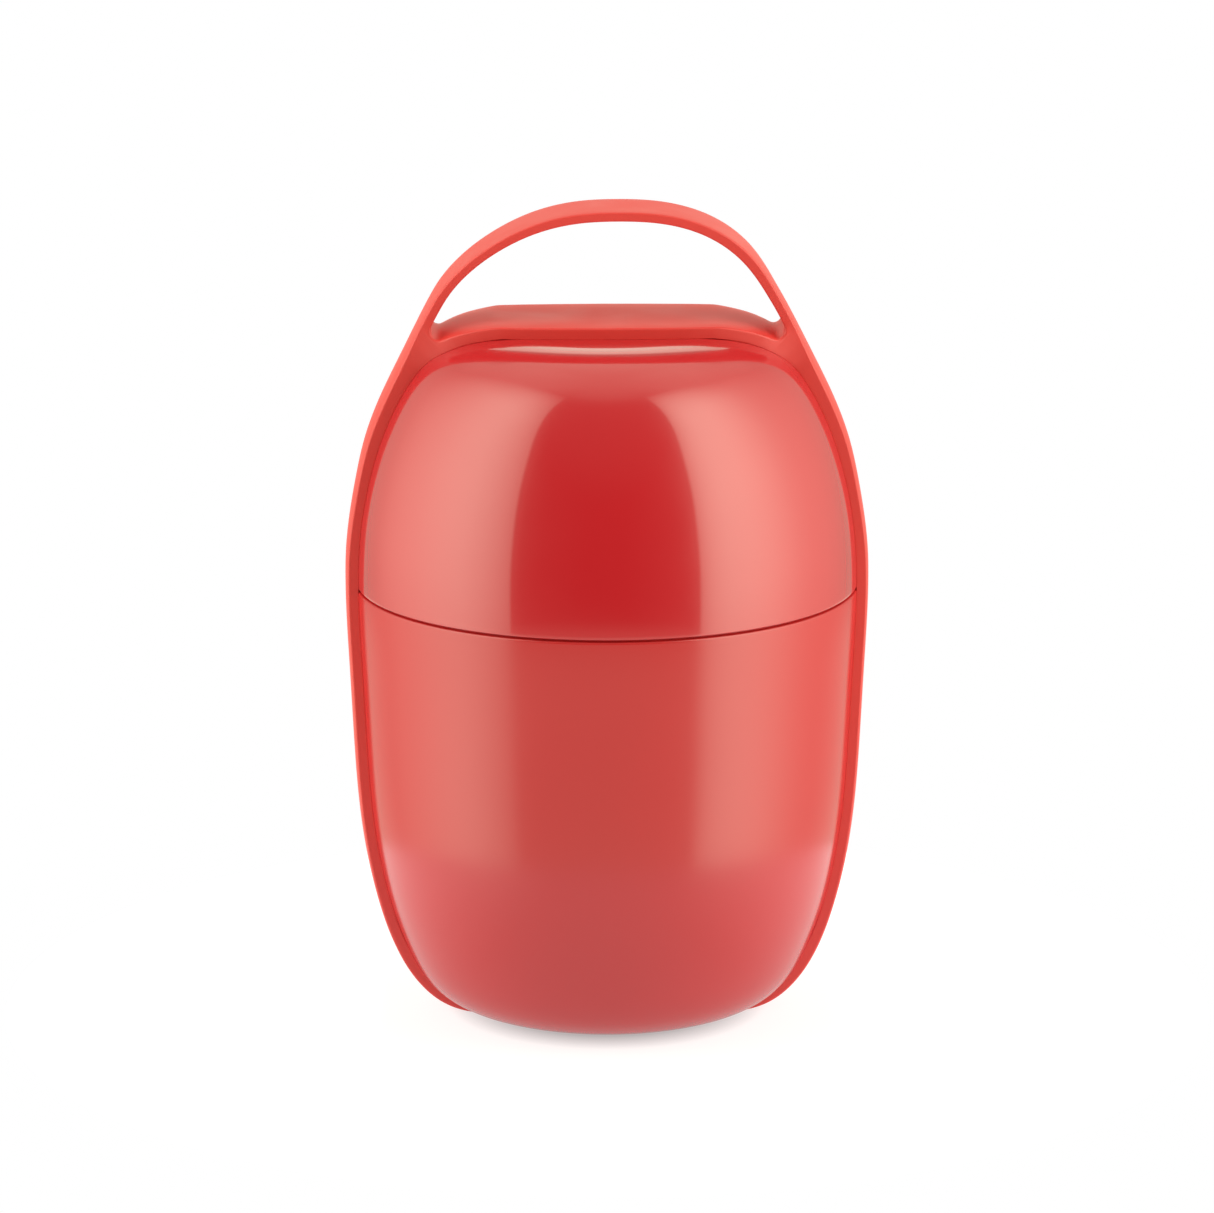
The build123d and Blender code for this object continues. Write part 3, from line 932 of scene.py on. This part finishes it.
# ---------------------------------------------------------------- light
# Brightness of the studio by direction. Azimuth 0 is the camera's side and 90 is +X; degrees.
SIDE_LIGHTS = [
    (-180, 0.55), (-150, 0.50), (-140, 0.52), (-130, 0.72), (-120, 1.15), (-110, 1.65), (-100, 2.15),
    (-90, 2.70), (-80, 3.10), (-70, 3.25), (-60, 2.90), (-52, 2.40), (-45, 1.90), (-44.0, 0.22),
    (-30, 0.11), (-10, 0.04), (10, 0.04), (30, 0.13), (42.6, 0.26), (43.8, 2.40), (50, 3.20),
    (58, 3.70), (70, 3.65), (80, 3.15), (90, 2.45), (100, 1.75), (110, 1.28), (120, 0.98),
    (130, 0.72), (142, 0.52), (180, 0.55),
]
SIDE_LIGHT_HEIGHT = [
    (-90, 0.6), (-14, 0.76), (-7, 0.86), (4, 0.94), (16, 1.0), (46, 1.0), (54, 0.85), (60, 0.68),
    (66, 0.40), (72, 0.0), (90, 0.0),
]
CEILING_FRONT = [
    (-90, 0.0), (15, 0.02), (40, 0.18), (60, 0.25), (66, 0.37), (71, 0.63), (78, 0.80), (90, 0.92),
]
CEILING_SIDE = [
    (-90, 0.0), (15, 0.0), (25, 0.30), (32, 0.50), (40, 0.70), (50, 0.85), (60, 1.05), (70, 1.05),
    (78, 0.96), (90, 0.92),
]
CEILING_BACK = [(-90, 1.05), (28, 1.05), (30, 0.18), (45, 0.18), (47, 0.92), (90, 0.92)]
GROUND = [(-90, 0.9), (-30, 0.85), (-16, 0.75), (-11, 0.0), (90, 0.0)]
FRONT_SHARE = [(-180, 0.0), (-90, 0.0), (-50, 1.0), (50, 1.0), (90, 0.0), (180, 0.0)]
BACK_SHARE = [(-180, 1.0), (-162, 1.0), (-150, 0.0), (150, 0.0), (162, 1.0), (180, 1.0)]
LIGHT_COLOUR = (1.0, 0.98, 0.81, 1)
CAMERA_TURN = math.radians(1.2)

world = bpy.data.worlds.new("studio")
bpy.context.scene.world = world
world.use_nodes = True
sky = world.node_tree
sky.nodes.clear()


def sky_math(operation, *values):
    """Maths node in the sky; a value is a number or another node's output."""
    node = sky.nodes.new("ShaderNodeMath")
    node.operation = operation
    for socket, value in zip(node.inputs, values):
        if isinstance(value, (int, float)):
            socket.default_value = value
        else:
            sky.links.new(value, socket)
    return node.outputs[0]


def sky_curve(angle, stops, span):
    """Brightness along an angle in radians, by straight lines between (degrees, value) stops. The
    stops run from minus span to span."""
    peak = max(value for _, value in stops)
    ramp = sky.nodes.new("ShaderNodeValToRGB")
    elements = ramp.color_ramp.elements
    while len(elements) > 1:
        elements.remove(elements[-1])
    for k, (degrees, value) in enumerate(stops):
        at = (degrees + span) / (2 * span)
        element = elements[0] if k == 0 else elements.new(at)
        element.position = at
        element.color = (value / peak,) * 3 + (1,)
    share = sky_math("MULTIPLY_ADD", angle, math.degrees(1) / (2 * span), 0.5)
    sky.links.new(share, ramp.inputs["Fac"])
    return sky_math("MULTIPLY", ramp.outputs["Color"], peak)


def sky_background(colour, strength):
    """Background shader of one colour; the strength is a number or another node's output."""
    made = sky.nodes.new("ShaderNodeBackground")
    made.inputs["Color"].default_value = colour
    if isinstance(strength, float):
        made.inputs["Strength"].default_value = strength
    else:
        sky.links.new(strength, made.inputs["Strength"])
    return made.outputs[0]


direction = sky.nodes.new("ShaderNodeTexCoord")
split = sky.nodes.new("ShaderNodeSeparateXYZ")
turned = sky.nodes.new("ShaderNodeVectorRotate")
turned.rotation_type = "Z_AXIS"
turned.inputs["Angle"].default_value = CAMERA_TURN
sky.links.new(direction.outputs["Generated"], turned.inputs["Vector"])
sky.links.new(turned.outputs["Vector"], split.inputs["Vector"])
azimuth = sky_math("ARCTAN2", split.outputs["X"], sky_math("MULTIPLY", split.outputs["Y"], -1.0))
height = sky_math("ARCSINE", split.outputs["Z"])

front = sky_curve(azimuth, FRONT_SHARE, 180)
back = sky_curve(azimuth, BACK_SHARE, 180)
not_back = sky_math("SUBTRACT", 1.0, back)
beside = sky_math("SUBTRACT", not_back, front)
ceiling = sky_math("MULTIPLY", sky_curve(height, CEILING_FRONT, 90), front)
ceiling = sky_math("ADD", ceiling, sky_math("MULTIPLY", sky_curve(height, CEILING_SIDE, 90), beside))
ceiling = sky_math("ADD", ceiling, sky_math("MULTIPLY", sky_curve(height, CEILING_BACK, 90), back))
surround = sky_math("MAXIMUM", ceiling, sky_curve(height, GROUND, 90))
side_light = sky_math(
    "MULTIPLY", sky_curve(azimuth, SIDE_LIGHTS, 180), sky_curve(height, SIDE_LIGHT_HEIGHT, 90),
)
studio_light = sky_math("MAXIMUM", sky_math("MULTIPLY", side_light, not_back), surround)

# the viewer sees a plain white background
path = sky.nodes.new("ShaderNodeLightPath")
choose = sky.nodes.new("ShaderNodeMixShader")
sky.links.new(path.outputs["Is Camera Ray"], choose.inputs["Fac"])
sky.links.new(sky_background(LIGHT_COLOUR, studio_light), choose.inputs[1])
sky.links.new(sky_background((1.0, 1.0, 1.0, 1), 1.0), choose.inputs[2])
sky_out = sky.nodes.new("ShaderNodeOutputWorld")
sky.links.new(choose.outputs[0], sky_out.inputs["Surface"])

# ---------------------------------------------------------------- camera (metres)
CAMERA_TARGET = Vector((0, 0, 0.1086))
CAMERA_ELEVATION = math.radians(13.6)
CAMERA_DISTANCE = 1.6
CAMERA_SENSOR_MM = 36.0
CAMERA_LENS_MM = 192.4844
# small turns that bring the middle of the view a little under the target
CAMERA_TILT = math.radians(-0.241416)
CAMERA_PAN = math.radians(-0.000883)

camera_data = bpy.data.cameras.new("camera")
camera_data.sensor_width = CAMERA_SENSOR_MM
camera_data.lens = CAMERA_LENS_MM
camera_data.clip_start = 0.05
camera_data.clip_end = 60.0
camera = bpy.data.objects.new("camera", camera_data)
bpy.context.scene.collection.objects.link(camera)
away = Vector((
    -math.sin(CAMERA_TURN) * math.cos(CAMERA_ELEVATION),
    -math.cos(CAMERA_TURN) * math.cos(CAMERA_ELEVATION),
    math.sin(CAMERA_ELEVATION),
))
camera.location = CAMERA_TARGET + away * CAMERA_DISTANCE
camera.rotation_euler = (-away).to_track_quat("-Z", "Y").to_euler()
camera.rotation_euler.rotate_axis("X", CAMERA_TILT)
camera.rotation_euler.rotate_axis("Y", CAMERA_PAN)
bpy.context.scene.camera = camera
bpy.context.scene.view_settings.view_transform = "Standard"
